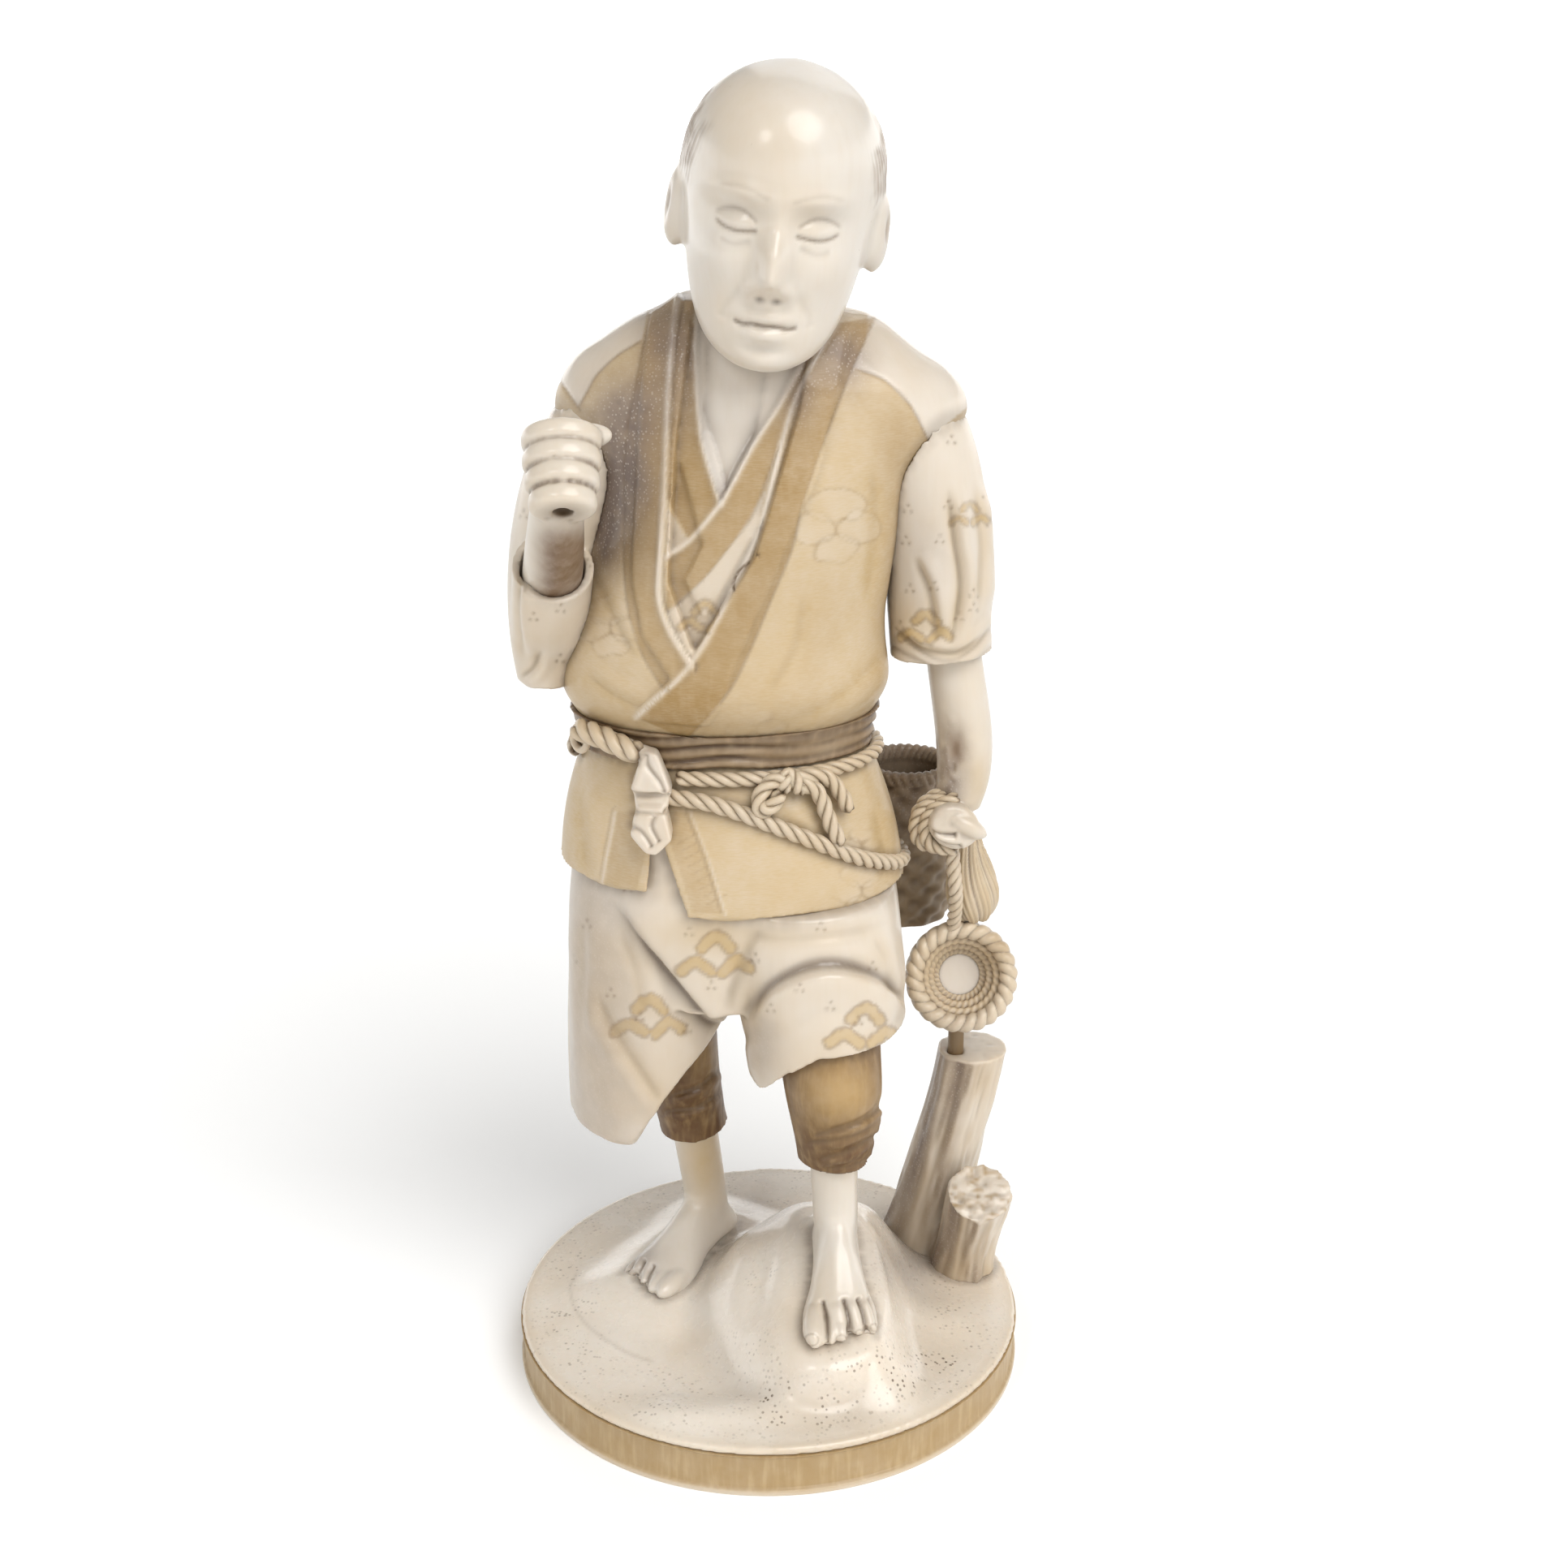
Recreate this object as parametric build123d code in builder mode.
"""Standing figure of a countryman, carved in sections that are pegged and glued together.

He steps up on a mound beside a tree stump, one fist raised and the other hand holding a corded
pouch and a coiled straw basket.  Millimetres, +Z up, the origin under the middle of the base.
His front faces -Y, so his left hand is on the +X side.
"""

import os
from math import cos, radians, sin, tan

from build123d import *

# Fits shared by the whole assembly
PEG_RADIUS = 1.4
PEG_CLEARANCE = 0.04
PEG_DEPTH = 5.0
GLUE_LINE = 0.15

# Base: a stained plinth slice under a pale slice carved as ground
BASE_RADIUS = 45.0
LIP_HEIGHT = 1.2
BAND_INSET = 0.7
PLINTH_HEIGHT = 7.6
GROUND_EDGE = 1.6
GROUND_ROUND = 0.7
GROUND_LEVEL = PLINTH_HEIGHT + GROUND_EDGE

# Feet: the left one is up on the mound, the right one is turned out behind it
FOOT_LENGTH = 29.0
FOOT_WIDTH = 12.6
INSTEP_HEIGHT = 11.0
ANKLE_RADIUS = 4.0
TOE_RADIUS = 1.55
LEFT_STEP_HEIGHT = 17.0
LEFT_STEP_SLOPE = 15.0
LEFT_HEEL_X, LEFT_HEEL_Y, LEFT_TURN = 11.5, -3.0, -2.0
RIGHT_STEP_HEIGHT = 3.4
RIGHT_STEP_SLOPE = 2.0
RIGHT_HEEL_X, RIGHT_HEEL_Y, RIGHT_TURN = -7.6, 20.7, 32.0
LEFT_MOUND_SPREAD, RIGHT_MOUND_SPREAD = 11.0, 8.0
LEFT_MOUND_SHIFT, RIGHT_MOUND_SHIFT = -4.0, 1.0

# Legs, in stained leggings
LEGGING_WALL = 1.6
LEFT_LEGGING_HEM, RIGHT_LEGGING_HEM = 46.0, 38.0
LEFT_KNEE_HEIGHT, RIGHT_KNEE_HEIGHT = 61.0, 60.0
LEFT_KNEE_X, LEFT_KNEE_Y = 10.8, -14.5
RIGHT_KNEE_X, RIGHT_KNEE_Y = -16.2, 7.5
LEFT_KNEE_RADIUS, RIGHT_KNEE_RADIUS = 8.2, 7.2
LEG_TOP_HEIGHT = 74.0

# Robe hitched up over the left knee, hanging low beside the right leg
HIP_X, HIP_Y = -6.0, 1.5
HIP_HALF_WIDTH, HIP_HALF_DEPTH = 27.6, 20.6
ROBE_WALL = 2.0
RIGHT_HEM_HEIGHT, LEFT_HEM_HEIGHT = 45.0, 60.0
RIGHT_HEM_HALF_WIDTH, RIGHT_HEM_HALF_DEPTH = 12.4, 14.5
LEFT_HEM_HALF_WIDTH, LEFT_HEM_HALF_DEPTH = 12.6, 14.4
FRONT_HEM_HEIGHT = 73.0
KNEE_HEM_HEIGHT = 69.5

# Sleeveless coat, tied in at the waist
WAIST_HEIGHT = 116.0
WAIST_X, WAIST_Y = -7.0, 3.0
WAIST_HALF_WIDTH, WAIST_HALF_DEPTH = 23.2, 16.2
COAT_HALF_WIDTH, COAT_HALF_DEPTH = 25.4, 19.5
TORSO_LENGTH = 71.5
SHOULDER_X, SHOULDER_Y = -0.8, 3.0
SHOULDER_HALF_WIDTH, SHOULDER_HALF_DEPTH = 32.2, 16.5
COAT_WALL = 1.6
LAPEL_RISE = 0.7
COLLAR_RISE = 0.7
TAILS_LENGTH = 24.0
TAILS_WALL = 1.7
TAILS_FLARE = 5.8
RIGHT_TAIL_RISE = 3.4

# Sash and carved ropes
SASH_HEIGHT = 6.0
SASH_WALL = 1.2
ROPE_RADIUS = 1.2
CORD_RADIUS = 1.1
RING_RADIUS = 2.1
RING_THICKNESS = 0.9
TAG_LENGTH, TAG_HALF_WIDTH, TAG_HALF_DEPTH = 15.5, 3.5, 1.9

# Head, leaning to his left and a little forward
HEAD_HEIGHT, HEAD_WIDTH, HEAD_DEPTH = 43.0, 28.8, 36.0
HEAD_X, HEAD_Y = 2.0, -8.0
HEAD_RISE = 85.0
HEAD_LEAN, HEAD_NOD = 7.5, 5.0
NECK_RADIUS = 8.4
EAR_HEIGHT = 11.0

# Arms
SLEEVE_RADIUS = 9.4
SLEEVE_WALL = 1.4
SLEEVE_BAG = 10.0
ELBOW_X, ELBOW_Y, ELBOW_DROP = -35.4, 0.0, 34.0
CUFF_X, CUFF_DROP = 28.6, 40.0
CUFF_HALF_WIDTH, CUFF_HALF_DEPTH = 8.4, 8.0
CUFF_HOLLOW = 8.0
FOREARM_RADIUS = 4.7
FIST_RADIUS = 5.9
FINGER_THICKNESS = 3.3
GRIP_RADIUS = 1.5
GRIP_TILT = 38.0
LEFT_HAND_RADIUS = 4.4
FIST_X, FIST_Y, FIST_RISE = -29.3, -27.6, 50.0
LEFT_ARM_X = 32.4
LEFT_HAND_X, LEFT_HAND_Y, LEFT_HAND_DROP = 30.2, 1.0, 14.5

# What he carries
BASKET_RADIUS, BASKET_DEPTH, BASKET_MOUTH = 9.6, 10.5, 6.6
BASKET_HOLLOW, BASKET_FLOOR_RADIUS = 6.0, 3.8
BASKET_X, BASKET_Y, BASKET_DROP = 33.4, 4.0, 30.4
BASKET_TILT = 20.0
POUCH_RADIUS, POUCH_LENGTH = 4.4, 15.5
POUCH_X, POUCH_Y, POUCH_DROP = 35.6, 5.4, 12.5
CREEL_RADIUS, CREEL_HEIGHT, CREEL_WALL = 9.4, 29.0, 1.6
CREEL_X, CREEL_Y, CREEL_TOP_DROP = 24.3, 20.5, 11.0

# Tree stump and its cut branch
STUMP_RADIUS, STUMP_ROOT_RADIUS = 6.2, 8.4
STUMP_INSET, STUMP_FOOT_Y = 16.0, 19.5
STUMP_TOP_X, STUMP_TOP_Y, STUMP_HEIGHT = 36.6, 9.0, 45.5
BRANCH_RADIUS, BRANCH_RISE = 5.7, 20.0
BRANCH_FOOT_INSET, BRANCH_FOOT_Y = 9.4, 8.6
BRANCH_END_INSET, BRANCH_END_Y = 7.0, 1.5
BRANCH_SAW_TILT = 30.0

# Heights and centres that follow from the sizes above
SHOULDER_HEIGHT = WAIST_HEIGHT + 0.755 * TORSO_LENGTH
NECK_HEIGHT = WAIST_HEIGHT + TORSO_LENGTH
HEAD_CENTRE = Vector(HEAD_X, HEAD_Y, WAIST_HEIGHT + HEAD_RISE)
TAILS_HEM = WAIST_HEIGHT - TAILS_LENGTH
HAND_HEIGHT = WAIST_HEIGHT - LEFT_HAND_DROP
BASKET_CENTRE = Vector(BASKET_X, BASKET_Y, HAND_HEIGHT - BASKET_DROP)
CREEL_TOP = WAIST_HEIGHT - CREEL_TOP_DROP
FIST_CENTRE = Vector(FIST_X, FIST_Y, WAIST_HEIGHT + FIST_RISE)
ELBOW = Vector(ELBOW_X, ELBOW_Y, SHOULDER_HEIGHT - ELBOW_DROP)
CUFF_HEIGHT = SHOULDER_HEIGHT - CUFF_DROP
HAND_CENTRE = Vector(LEFT_HAND_X, LEFT_HAND_Y, HAND_HEIGHT)
POUCH_CENTRE = Vector(POUCH_X, POUCH_Y, HAND_HEIGHT - POUCH_DROP)


def square_planes(points):
    """Planes square to the line through the points, each with its x axis as near +X as it goes."""
    planes = []
    for index, point in enumerate(points):
        ahead = points[min(index + 1, len(points) - 1)]
        behind = points[max(index - 1, 0)]
        along = (ahead - behind).normalized()
        across = Vector(1, 0, 0) - along * along.X
        planes.append(Plane(origin=point, x_dir=across, z_dir=along))
    return planes


def limb(points, half_sizes):
    """A rounded bar lofted through ellipses, set square to the line through the points."""
    with BuildPart() as made:
        for plane, (across, through) in zip(square_planes(points), half_sizes):
            with BuildSketch(plane):
                Ellipse(across, through)
        loft()
    return made.part


def upright(sections, grow=0.0):
    """A body lofted through level ellipses (height, x, y, half width, half depth)."""
    with BuildPart() as made:
        for height, x, y, half_width, half_depth in sections:
            with BuildSketch(Plane.XY.offset(height)):
                with Locations((x, y)):
                    Ellipse(half_width + grow, half_depth + grow)
        loft()
    return made.part


def front_prism(outline, depth, offset_y=0.0):
    """A prism that stands on an outline drawn in X and Z, and reaches forwards to -Y."""
    with BuildPart() as made:
        with BuildSketch(Plane.XZ.offset(-offset_y)):
            with BuildLine():
                Polyline(*outline, close=True)
            make_face()
        extrude(amount=depth)
    return made.part


def ellipsoid(plane, half_x, half_y, half_z):
    """An ellipsoid in the axes of a plane."""
    with BuildPart() as made:
        Sphere(1)
        scale(by=(half_x, half_y, half_z))
    return plane * made.part


def rope(points, radius, close=False):
    """A round carved rope along runs joined by tangent arcs, as wide as the runs allow."""
    count = len(points)
    corners = range(count) if close else range(1, count - 1)
    radii = []
    for index in corners:
        here, before, after = points[index], points[index - 1], points[(index + 1) % count]
        shorter = min((here - before).length, (after - here).length)
        turn = (here - before).get_angle(after - here)
        radii.append(0.45 * shorter / tan(radians(turn) / 2))
    with BuildPart() as made:
        with BuildLine() as path:
            FilletPolyline(*points, radius=radii, close=close)
        start = path.wires()[0]
        with BuildSketch(Plane(origin=start @ 0, z_dir=start % 0)):
            Circle(radius)
        sweep(path=start)
    return made.part


def peg_between(start, end, radius=PEG_RADIUS):
    """A dowel from one point to another."""
    with BuildPart() as made:
        with BuildSketch(Plane(origin=start, z_dir=(end - start).normalized())):
            Circle(radius)
        extrude(amount=(end - start).length)
    return made.part


def peg_and_hole(start, end):
    """A dowel and the slightly wider hole that takes it."""
    along = (end - start).normalized() * GLUE_LINE
    return (
        peg_between(start, end),
        peg_between(start - along, end + along, PEG_RADIUS + PEG_CLEARANCE),
    )


def write(part, name):
    """Labels a finished piece and writes it under its own name."""
    part.label = name
    export_step(part, f"parts/{name}.step")


os.makedirs("parts", exist_ok=True)

# Plinth: the stained lower slice, its band set in above a thin lip
with BuildPart() as plinth:
    with BuildSketch(Plane.XZ):
        with BuildLine():
            band = BASE_RADIUS - BAND_INSET
            Polyline(
                (0, 0),
                (BASE_RADIUS, 0),
                (BASE_RADIUS, LIP_HEIGHT),
                (band, LIP_HEIGHT + BAND_INSET),
                (band, PLINTH_HEIGHT),
                (0, PLINTH_HEIGHT),
                close=True,
            )
        make_face()
    revolve(axis=Axis.Z)
write(plinth.part, "plinth")


def foot_plane(heel_x, heel_y, step_height, turn, slope):
    """The frame of a foot: its origin under the heel, x along the sole, z out of the instep."""
    ahead = Vector(-sin(radians(turn)), -cos(radians(turn)), 0)
    down = radians(slope)
    along = ahead * cos(down) - Vector(0, 0, sin(down))
    square = ahead * sin(down) + Vector(0, 0, cos(down))
    return Plane((heel_x, heel_y, GROUND_LEVEL + step_height), x_dir=along, z_dir=square)


LEFT_SOLE = foot_plane(LEFT_HEEL_X, LEFT_HEEL_Y, LEFT_STEP_HEIGHT, LEFT_TURN, LEFT_STEP_SLOPE)
RIGHT_SOLE = foot_plane(RIGHT_HEEL_X, RIGHT_HEEL_Y, RIGHT_STEP_HEIGHT, RIGHT_TURN, RIGHT_STEP_SLOPE)


def mound(sole, spread, shift):
    """A rounded rise in the ground that comes up to a level pad under one sole."""
    middle = sole.from_local_coords((0.50 * FOOT_LENGTH, 0, 0))
    foot_level = PLINTH_HEIGHT + GLUE_LINE
    shoulder_level = foot_level + 0.62 * (middle.Z - foot_level)
    across = -sole.y_dir
    with BuildPart() as made:
        with BuildSketch(Plane((middle.X + shift, middle.Y, foot_level), x_dir=across, z_dir=(0, 0, 1))):
            Ellipse(0.50 * FOOT_WIDTH + spread, 0.50 * FOOT_LENGTH + 0.50 * spread)
        shoulder = Plane((middle.X + 0.6 * shift, middle.Y, shoulder_level), x_dir=across, z_dir=(0, 0, 1))
        with BuildSketch(shoulder):
            Ellipse(0.50 * FOOT_WIDTH + 0.55 * spread, 0.50 * FOOT_LENGTH + 0.32 * spread)
        with BuildSketch(Plane(middle, x_dir=across, z_dir=sole.z_dir)):
            Ellipse(0.74 * FOOT_WIDTH, 0.62 * FOOT_LENGTH)
        loft()
    return made.part


left_mound = mound(LEFT_SOLE, LEFT_MOUND_SPREAD, LEFT_MOUND_SHIFT)
right_mound = mound(RIGHT_SOLE, RIGHT_MOUND_SPREAD, RIGHT_MOUND_SHIFT)
foot_pegs_and_holes = [
    peg_and_hole(
        sole.from_local_coords((0.30 * FOOT_LENGTH, 0, -0.7 * PEG_DEPTH)),
        sole.from_local_coords((0.30 * FOOT_LENGTH, 0, 0.8 * PEG_DEPTH)),
    )
    for sole in (LEFT_SOLE, RIGHT_SOLE)
]
write(Compound(children=[peg for peg, _ in foot_pegs_and_holes]), "foot_pegs")

stump_foot = Vector(BASE_RADIUS - STUMP_INSET, STUMP_FOOT_Y, GROUND_LEVEL)
stump_peg, stump_hole = peg_and_hole(
    stump_foot - Vector(0, 0, GROUND_EDGE), stump_foot + Vector(0, 0, PEG_DEPTH)
)

# Ground: the pale upper slice, with a rise under each foot
with BuildPart() as ground:
    with BuildSketch(Plane.XY.offset(PLINTH_HEIGHT)):
        Circle(BASE_RADIUS - GLUE_LINE)
    extrude(amount=GROUND_EDGE)
    fillet(ground.edges().group_by(Axis.Z)[-1], GROUND_ROUND)
    add(left_mound)
    add(right_mound)
    for _, hole in foot_pegs_and_holes:
        add(hole, mode=Mode.SUBTRACT)
    add(stump_hole, mode=Mode.SUBTRACT)
write(ground.part, "ground")


def toes(sole, inner):
    """Five toes in a fan, the big one on the inner side (+1 or -1 along the sole's y axis)."""
    for index in range(5):
        share = index / 4
        across = inner * FOOT_WIDTH * (0.36 - 0.74 * share)
        ahead = FOOT_LENGTH * (0.885 - 0.13 * share * share)
        radius = TOE_RADIUS * (1.25 - 0.35 * share)
        yield ellipsoid(
            Plane(
                sole.from_local_coords((ahead, across, 0.85 * radius)),
                x_dir=sole.x_dir,
                z_dir=sole.z_dir,
            ),
            2.3 * radius,
            radius,
            1.05 * radius,
        )


def foot(sole, inner, shin_points, shin_sizes):
    """A bare foot with a flat sole, its toes, and the ankle up into the legging."""
    shin = limb(shin_points, shin_sizes)
    toe_parts = list(toes(sole, inner))
    with BuildPart() as made:
        for ahead, half_width, height in (
            (0.03, 0.24, 0.30),
            (0.16, 0.34, 0.75),
            (0.34, 0.33, 1.00),
            (0.55, 0.39, 0.76),
            (0.75, 0.50, 0.46),
            (0.90, 0.49, 0.26),
        ):
            station = sole.from_local_coords((ahead * FOOT_LENGTH, 0, 0))
            with BuildSketch(Plane(station, x_dir=sole.y_dir, z_dir=sole.x_dir)):
                Ellipse(half_width * FOOT_WIDTH, height * INSTEP_HEIGHT)
        loft()
        for toe in toe_parts:
            add(toe)
        split(bisect_by=sole, keep=Keep.TOP)
        add(shin)
    return made.part


def ankle_of(sole):
    """The middle of the ankle, above the sole."""
    return sole.from_local_coords((0.24 * FOOT_LENGTH, 0, 0.55 * INSTEP_HEIGHT))


def leg_sizes(knee_radius):
    """Half sizes of a legging at its hem, knee and top."""
    hem = ANKLE_RADIUS + LEGGING_WALL
    return [(hem + 0.6, hem + 0.4), (knee_radius, 1.04 * knee_radius), (1.15 * knee_radius,) * 2]


LEFT_LEG_TOP = Vector(LEFT_KNEE_X - 1.5, LEFT_KNEE_Y + 4.5, LEG_TOP_HEIGHT)
RIGHT_LEG_TOP = Vector(RIGHT_KNEE_X - 0.5, RIGHT_KNEE_Y - 2.0, LEG_TOP_HEIGHT)
LEFT_KNEE = Vector(LEFT_KNEE_X, LEFT_KNEE_Y, LEFT_KNEE_HEIGHT)
RIGHT_KNEE = Vector(RIGHT_KNEE_X, RIGHT_KNEE_Y, RIGHT_KNEE_HEIGHT)


def shin_line(sole, hem_height, knee):
    """Points up the shin: ankle, legging hem and the end of the shin inside the legging."""
    ankle = ankle_of(sole)
    share = (hem_height - ankle.Z) / (knee.Z - ankle.Z)
    hem = ankle + (knee - ankle) * share
    inside = hem + (knee - hem) * 0.30
    return [ankle, hem, inside]


left_shin = shin_line(LEFT_SOLE, LEFT_LEGGING_HEM, LEFT_KNEE)
right_shin = shin_line(RIGHT_SOLE, RIGHT_LEGGING_HEM, RIGHT_KNEE)
SHIN_SIZES = [
    (ANKLE_RADIUS, 1.05 * ANKLE_RADIUS),
    (1.08 * ANKLE_RADIUS, 1.12 * ANKLE_RADIUS),
    (1.08 * ANKLE_RADIUS, 1.12 * ANKLE_RADIUS),
]
left_foot = foot(LEFT_SOLE, -1, left_shin, SHIN_SIZES)
right_foot = foot(RIGHT_SOLE, 1, right_shin, SHIN_SIZES)


def legging(shin, knee, top, knee_radius, bare_leg):
    """A stained legging from its hem over the knee, hollowed for the shin that it takes."""
    body = limb([shin[1], knee, top], leg_sizes(knee_radius))
    with BuildPart() as made:
        add(body)
        add(bare_leg, mode=Mode.SUBTRACT)
    return made.part


left_legging = legging(left_shin, LEFT_KNEE, LEFT_LEG_TOP, LEFT_KNEE_RADIUS, left_foot)
right_legging = legging(right_shin, RIGHT_KNEE, RIGHT_LEG_TOP, RIGHT_KNEE_RADIUS, right_foot)
for name, bare_leg, (_, hole) in (
    ("left_foot", left_foot, foot_pegs_and_holes[0]),
    ("right_foot", right_foot, foot_pegs_and_holes[1]),
):
    with BuildPart() as pegged_foot:
        add(bare_leg)
        add(hole, mode=Mode.SUBTRACT)
    write(pegged_foot.part, name)
write(left_legging, "left_legging")
write(right_legging, "right_legging")

# Coat tails: the skirt of the coat below the sash, open at the front, shorter on his right
REACH = BASE_RADIUS
TAILS_SECTIONS = [
    (WAIST_HEIGHT, WAIST_X, WAIST_Y, WAIST_HALF_WIDTH, WAIST_HALF_DEPTH),
    (
        WAIST_HEIGHT - 0.45 * TAILS_LENGTH,
        0.6 * WAIST_X + 0.4 * HIP_X,
        (WAIST_Y + HIP_Y) / 2,
        WAIST_HALF_WIDTH + 0.66 * TAILS_FLARE,
        WAIST_HALF_DEPTH + 0.6 * TAILS_FLARE,
    ),
    (TAILS_HEM, HIP_X, HIP_Y, WAIST_HALF_WIDTH + TAILS_FLARE, WAIST_HALF_DEPTH + TAILS_FLARE),
]
GAP_X = HIP_X - 12.0
FRONT_GAP = [
    (GAP_X, WAIST_HEIGHT - 9.0),
    (GAP_X - 1.6, TAILS_HEM - 1.0),
    (GAP_X + 5.8, TAILS_HEM - 1.0),
    (GAP_X + 1.6, WAIST_HEIGHT - 13.0),
]
SHORT_TAIL = [
    (-REACH, TAILS_HEM - 1.0),
    (-REACH, TAILS_HEM + RIGHT_TAIL_RISE),
    (GAP_X + 2.0, TAILS_HEM + RIGHT_TAIL_RISE),
    (GAP_X, TAILS_HEM - 1.0),
]

tails_outer = upright(TAILS_SECTIONS)
tails_inner = upright(TAILS_SECTIONS, -TAILS_WALL)
front_gap = front_prism(FRONT_GAP, REACH)
short_tail = front_prism(SHORT_TAIL, 2 * REACH, REACH)
with BuildPart() as coat_tails:
    add(tails_outer)
    add(tails_inner, mode=Mode.SUBTRACT)
    add(front_gap, mode=Mode.SUBTRACT)
    add(short_tail, mode=Mode.SUBTRACT)
write(coat_tails.part, "coat_tails")

# Robe: hips under the tails, a drape over each leg, and a hollow inside each hem
waist_peg, waist_hole = peg_and_hole(
    Vector(WAIST_X, WAIST_Y, WAIST_HEIGHT - PEG_DEPTH),
    Vector(WAIST_X, WAIST_Y, WAIST_HEIGHT + PEG_DEPTH),
)
write(waist_peg, "waist_peg")
HIP_LEVEL = TAILS_HEM - GLUE_LINE
HIP_SHARE = 11.5
HEM_X = HIP_X - 16.5
hips = upright(TAILS_SECTIONS, -TAILS_WALL - GLUE_LINE)
hip_joint = upright(
    [
        (level, HIP_X, HIP_Y, WAIST_HALF_WIDTH + TAILS_FLARE - TAILS_WALL - GLUE_LINE)
        + (WAIST_HALF_DEPTH + TAILS_FLARE - TAILS_WALL - GLUE_LINE,)
        for level in (HIP_LEVEL - 1.0, TAILS_HEM)
    ]
)
belly = upright(
    [
        (HIP_LEVEL, HIP_X, HIP_Y, HIP_HALF_WIDTH, HIP_HALF_DEPTH),
        (FRONT_HEM_HEIGHT, HIP_X, HIP_Y, HIP_HALF_WIDTH - 5.0, HIP_HALF_DEPTH - 2.6),
    ]
)
right_drape = upright(
    [
        (HIP_LEVEL, HIP_X - HIP_SHARE, HIP_Y, HIP_HALF_WIDTH - HIP_SHARE, HIP_HALF_DEPTH - 1.5),
        (
            0.5 * (TAILS_HEM + RIGHT_HEM_HEIGHT),
            HIP_X - 0.7 * HIP_SHARE - 5.4,
            HIP_Y + 2.0,
            0.5 * (HIP_HALF_WIDTH - HIP_SHARE + RIGHT_HEM_HALF_WIDTH) + 1.0,
            0.5 * (HIP_HALF_DEPTH + RIGHT_HEM_HALF_DEPTH),
        ),
        (RIGHT_HEM_HEIGHT, HEM_X, HIP_Y + 3.5, RIGHT_HEM_HALF_WIDTH, RIGHT_HEM_HALF_DEPTH),
    ]
)
left_drape = upright(
    [
        (HIP_LEVEL, HIP_X + HIP_SHARE, HIP_Y - 2.0, HIP_HALF_WIDTH - HIP_SHARE, HIP_HALF_DEPTH - 1.5),
        (
            0.5 * (TAILS_HEM + LEFT_HEM_HEIGHT),
            LEFT_KNEE_X - 2.4,
            HIP_Y - 7.5,
            0.5 * (HIP_HALF_WIDTH - HIP_SHARE + LEFT_HEM_HALF_WIDTH) + 0.3,
            0.5 * (HIP_HALF_DEPTH + LEFT_HEM_HALF_DEPTH) + 0.5,
        ),
        (
            LEFT_HEM_HEIGHT,
            LEFT_KNEE_X - 1.0,
            LEFT_KNEE_Y + 3.5,
            LEFT_HEM_HALF_WIDTH,
            LEFT_HEM_HALF_DEPTH,
        ),
    ]
)
crossed_hem = front_prism(
    [
        (HIP_X + 1.5, FRONT_HEM_HEIGHT),
        (HEM_X - 1.5, RIGHT_HEM_HEIGHT - 1.0),
        (HIP_X + 20.0, RIGHT_HEM_HEIGHT - 1.0),
        (HIP_X + 20.0, FRONT_HEM_HEIGHT),
    ],
    2 * REACH,
    REACH,
)
knee_hem = front_prism(
    [
        (LEFT_KNEE_X - LEFT_HEM_HALF_WIDTH, LEFT_HEM_HEIGHT - 1.0),
        (LEFT_KNEE_X - 0.62 * LEFT_HEM_HALF_WIDTH, 0.6 * KNEE_HEM_HEIGHT + 0.4 * LEFT_HEM_HEIGHT),
        (LEFT_KNEE_X - 0.20 * LEFT_HEM_HALF_WIDTH, KNEE_HEM_HEIGHT),
        (LEFT_KNEE_X + 2 * LEFT_HEM_HALF_WIDTH, KNEE_HEM_HEIGHT),
        (LEFT_KNEE_X + 2 * LEFT_HEM_HALF_WIDTH, LEFT_HEM_HEIGHT - 1.0),
    ],
    REACH,
    LEFT_KNEE_Y + LEFT_HEM_HALF_DEPTH,
)
right_hollow = upright(
    [
        (
            RIGHT_HEM_HEIGHT - 1.0,
            HEM_X,
            HIP_Y + 3.5,
            RIGHT_HEM_HALF_WIDTH - ROBE_WALL,
            RIGHT_HEM_HALF_DEPTH - ROBE_WALL,
        ),
        (
            LEG_TOP_HEIGHT - 8.0,
            RIGHT_LEG_TOP.X - 2.0,
            RIGHT_LEG_TOP.Y,
            RIGHT_HEM_HALF_WIDTH - ROBE_WALL,
            RIGHT_HEM_HALF_DEPTH - 1.5 * ROBE_WALL,
        ),
    ]
)
left_hollow = upright(
    [
        (
            LEFT_HEM_HEIGHT - 1.0,
            LEFT_KNEE_X - 1.0,
            LEFT_KNEE_Y + 3.5,
            LEFT_HEM_HALF_WIDTH - ROBE_WALL,
            LEFT_HEM_HALF_DEPTH - ROBE_WALL,
        ),
        (
            LEG_TOP_HEIGHT - 1.0,
            LEFT_LEG_TOP.X,
            LEFT_LEG_TOP.Y,
            LEFT_HEM_HALF_WIDTH - ROBE_WALL,
            LEFT_HEM_HALF_DEPTH - 1.5 * ROBE_WALL,
        ),
    ]
)
with BuildPart() as right_side:
    add(right_drape)
    add(crossed_hem, mode=Mode.SUBTRACT)
with BuildPart() as left_side:
    add(left_drape)
    add(knee_hem, mode=Mode.SUBTRACT)
with BuildPart() as robe_skirt:
    add(belly)
    add(hips)
    add(hip_joint)
    add(left_side.part)
    add(right_side.part)
    add(right_hollow, mode=Mode.SUBTRACT)
    add(left_hollow, mode=Mode.SUBTRACT)
    add(left_legging, mode=Mode.SUBTRACT)
    add(right_legging, mode=Mode.SUBTRACT)
    add(waist_hole, mode=Mode.SUBTRACT)
write(robe_skirt.part, "robe_skirt")

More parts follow.
